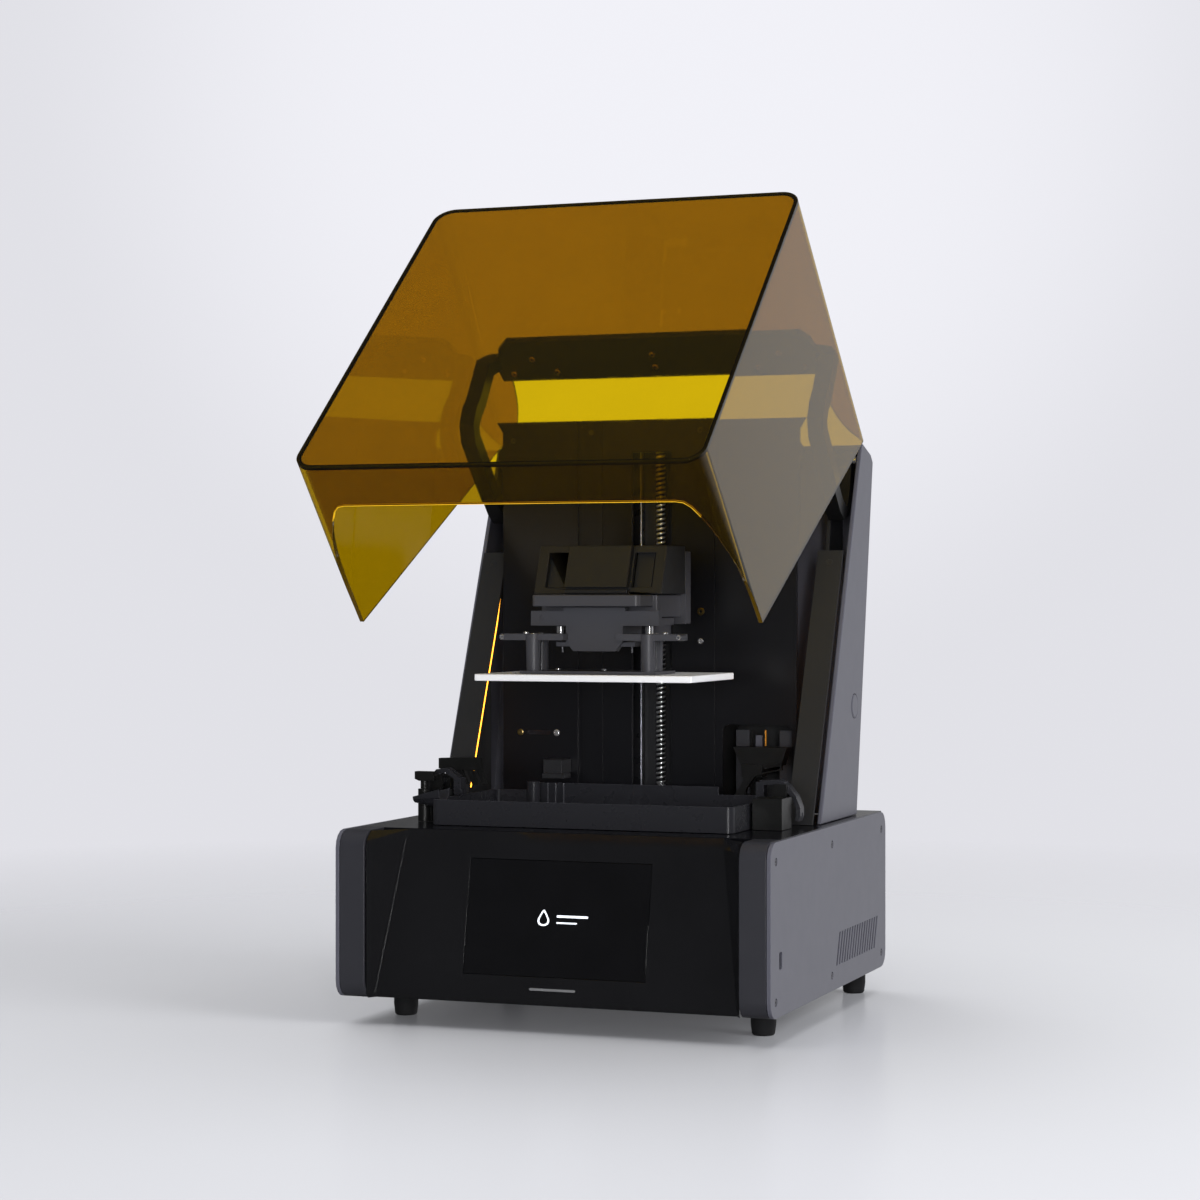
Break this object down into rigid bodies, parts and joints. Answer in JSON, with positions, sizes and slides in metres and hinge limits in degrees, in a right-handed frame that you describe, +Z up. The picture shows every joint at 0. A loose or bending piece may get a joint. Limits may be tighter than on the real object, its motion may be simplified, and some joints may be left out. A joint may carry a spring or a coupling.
{
  "type": "desktop resin printer",
  "caption": "Desktop resin 3D printer with a box base, sloped front screen, leaning tower, lifting build platform, resin vat and a swinging tinted lid.",
  "frame": {"origin": "on the table, under the centre of the machine's outer box with its lid open", "axes": "+X to the machine's right, +Y to its back, +Z up"},
  "size_m": [0.36, 0.4592, 0.667],
  "materials": {
    "case_paint": "fine satin powder coat, cool grey",
    "front_strip": "fine satin moulded plastic, charcoal",
    "fascia_gloss": "piano black, mirror gloss",
    "screen_glass": "black cover glass, smooth",
    "deck_plastic": "fine grained black plastic",
    "tower_panel": "semi gloss black panel",
    "trim_plastic": "fine grained black plastic",
    "black_plastic": "moulded black plastic",
    "black_metal": "black anodised or coated metal",
    "plate_aluminium": "finely blasted bare aluminium",
    "aluminium": "mill finish",
    "steel": "ground bright steel",
    "brass": "machined brass",
    "circuit_board": "green solder mask",
    "film": "clear release film",
    "foot_rubber": "matt black rubber",
    "lid_amber": "clear amber tinted sheet, polished",
    "light_strip": "warm light diffuser strip"
  },
  "bodies": {
    "machine": {"clamp_block_left": "black_plastic", "clamp_block_right": "black_plastic", "cheek_trim_left": "trim_plastic", "cheek_trim_right": "trim_plastic", "control_board": "circuit_board", "fan_frame": "black_plastic", "feed_funnel": "black_plastic", "feed_recess": "trim_plastic", "floor_pan": "black_metal", "foot_front_left": "foot_rubber", "foot_front_right": "foot_rubber", "foot_rear_left": "foot_rubber", "foot_rear_right": "foot_rubber", "front_fascia": "fascia_gloss", "front_wrap_left": "front_strip", "front_wrap_right": "front_strip", "heat_sink": "aluminium", "hinge_pin_left": "steel", "hinge_pin_right": "steel", "lcd_mask": "screen_glass", "led_array": "circuit_board", "led_strip_left": "light_strip", "led_strip_right": "light_strip", "level_sensor": "black_plastic", "light_hood": "black_plastic", "linear_rail": "steel", "power_inlet": "black_plastic", "power_supply": "aluminium", "rear_panel": "case_paint", "screw_bearing": "steel", "side_panel_left": "case_paint", "side_panel_right": "case_paint", "top_deck": "deck_plastic", "touch_screen": "screen_glass", "tower_back_cover": "case_paint", "tower_column": "black_metal", "tower_front_panel": "tower_panel", "tower_shell_left": "case_paint", "tower_shell_right": "case_paint", "z_motor": "black_metal"},
    "lid": {"lid_shell": "lid_amber", "hinge_bar": "black_metal", "hinge_arm_left": "black_metal", "hinge_arm_right": "black_metal"},
    "carriage": {"rail_slider": "steel", "screw_nut": "brass", "carriage_arm": "black_metal", "carriage_cover": "trim_plastic", "levelling_head": "black_metal"},
    "platform": {"platform_frame": "black_metal", "build_plate": "plate_aluminium"},
    "screw": {"lead_screw": "steel"},
    "vat": {"resin_vat": "black_metal", "release_film": "film"},
    "lever_left": {"clamp_lever_left": "black_metal"},
    "lever_right": {"clamp_lever_right": "black_metal"},
    "latch": {"latch_handle": "black_plastic"},
    "fan": {"fan_rotor": "black_plastic"},
    "rocker": {"power_switch": "black_plastic"},
    "button": {"side_button": "case_paint"}
  },
  "joints": [
    {"name": "lid_hinge", "type": "hinge", "parent": "machine", "child": "lid", "pos_m": [0, 0.191, 0.4573], "axis": [-1, 0, 0], "range_deg": [-41.5, 0]},
    {"name": "carriage_slide", "type": "slide", "parent": "machine", "child": "carriage", "axis": [0, 0, 1], "range_m": [-0.1124, 0.08]},
    {"name": "screw_turn", "type": "hinge", "parent": "machine", "child": "screw", "pos_m": [0.008, 0.1304, 0.15215], "axis": [0, 0, 1], "range_deg": [-10200, 7300]},
    {"name": "platform_pull", "type": "slide", "parent": "carriage", "child": "platform", "axis": [0, -1, 0], "range_m": [0, 0.14]},
    {"name": "vat_pull", "type": "slide", "parent": "machine", "child": "vat", "axis": [0, -1, 0], "range_m": [0, 0.12]},
    {"name": "lever_left_press", "type": "hinge", "parent": "machine", "child": "lever_left", "pos_m": [-0.145, 0.0094, 0.1875], "axis": [0, -1, 0], "range_deg": [0, 18], "stiffness_Nm_per_rad": 0.05, "springref_deg": -20.05},
    {"name": "lever_right_press", "type": "hinge", "parent": "machine", "child": "lever_right", "pos_m": [0.145, 0.0354, 0.1844], "axis": [0, 1, 0], "range_deg": [0, 18], "stiffness_Nm_per_rad": 0.05, "springref_deg": -20.05},
    {"name": "latch_turn", "type": "hinge", "parent": "machine", "child": "latch", "pos_m": [-0.1492, -0.012, 0.1824], "axis": [0, 0, 1], "range_deg": [0, 90]},
    {"name": "fan_spin", "type": "hinge", "parent": "machine", "child": "fan", "pos_m": [0.095, 0.2134, 0.098], "axis": [0, 1, 0], "continuous": true},
    {"name": "power_rock", "type": "hinge", "parent": "machine", "child": "rocker", "pos_m": [-0.0705, 0.2214, 0.068], "axis": [1, 0, 0], "range_deg": [0, 15]},
    {"name": "button_press", "type": "slide", "parent": "machine", "child": "button", "axis": [-1, 0, 0], "range_m": [0, 0.0012], "stiffness_N_per_m": 300}
  ],
  "couplings": [
    {"joint": "screw_turn", "follows": "carriage_slide", "rad_per_m": 1570.8}
  ]
}
